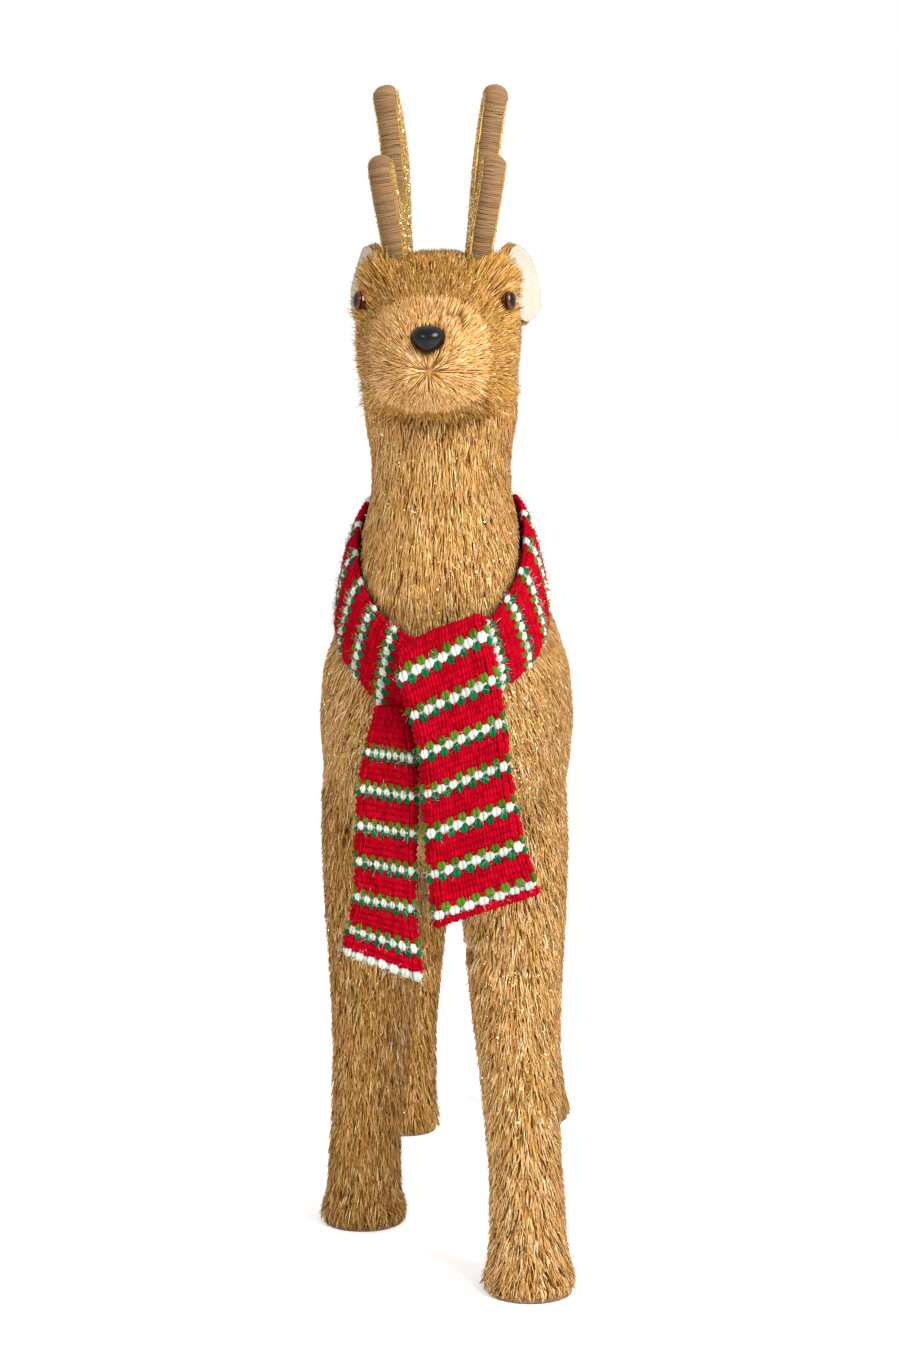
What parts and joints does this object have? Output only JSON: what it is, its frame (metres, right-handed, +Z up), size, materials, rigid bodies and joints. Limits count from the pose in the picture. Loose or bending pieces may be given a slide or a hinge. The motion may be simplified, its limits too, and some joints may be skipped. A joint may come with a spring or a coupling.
{
  "type": "reindeer figure",
  "caption": "Standing reindeer figure of straw bristle over a wired foam form, with jute-wound antlers, felt-lined ears and a knitted scarf whose hanging ends swing.",
  "frame": {"origin": "on the floor under the middle of the figure's bounding box", "axes": "+Z up, -Y the way the figure faces, +X the figure's left side"},
  "size_m": [0.176, 0.5525, 0.7565],
  "materials": {
    "straw": "matte",
    "foam": "matte",
    "steel_wire": "satin",
    "board": "matte",
    "black_plastic": "gloss",
    "amber": "gloss",
    "jute": "matte",
    "gold_glitter": "satin",
    "peg_wood": "matte",
    "white_felt": "matte",
    "knit": "matte"
  },
  "bodies": {
    "figure": {"front_left_leg_coat": "straw", "front_left_leg_core": "foam", "front_left_leg_wire": "steel_wire", "front_left_sole": "board", "front_right_leg_coat": "straw", "front_right_leg_core": "foam", "front_right_leg_wire": "steel_wire", "front_right_sole": "board", "head_coat": "straw", "head_core": "foam", "left_antler_board": "board", "left_antler_inner_glitter": "gold_glitter", "left_antler_jute": "jute", "left_antler_outer_glitter": "gold_glitter", "left_antler_peg": "peg_wood", "left_ear_back": "straw", "left_ear_lining": "white_felt", "left_ear_wire": "steel_wire", "left_eye_back": "black_plastic", "left_eye_lens": "amber", "neck_coat": "straw", "neck_core": "foam", "nose": "black_plastic", "rear_left_leg_coat": "straw", "rear_left_leg_core": "foam", "rear_left_leg_wire": "steel_wire", "rear_left_sole": "board", "rear_right_leg_coat": "straw", "rear_right_leg_core": "foam", "rear_right_leg_wire": "steel_wire", "rear_right_sole": "board", "right_antler_board": "board", "right_antler_inner_glitter": "gold_glitter", "right_antler_jute": "jute", "right_antler_outer_glitter": "gold_glitter", "right_antler_peg": "peg_wood", "right_ear_back": "straw", "right_ear_lining": "white_felt", "right_ear_wire": "steel_wire", "right_eye_back": "black_plastic", "right_eye_lens": "amber", "scarf_collar": "knit", "spine_wire": "steel_wire", "tail_tuft": "straw", "tail_wire": "steel_wire", "torso_coat": "straw", "torso_core": "foam"},
    "front_tail": {"scarf_front_tail": "knit"},
    "back_tail": {"scarf_back_tail": "knit"}
  },
  "joints": [
    {"name": "scarf_front_tail_swing", "type": "hinge", "parent": "figure", "child": "front_tail", "pos_m": [0.0045, -0.208, 0.4235], "axis": [-1, 0, 0], "range_deg": [0, 70]},
    {"name": "scarf_back_tail_swing", "type": "hinge", "parent": "figure", "child": "back_tail", "pos_m": [-0.0255, -0.2095, 0.373], "axis": [-1, 0, 0], "range_deg": [0, 55]}
  ]
}
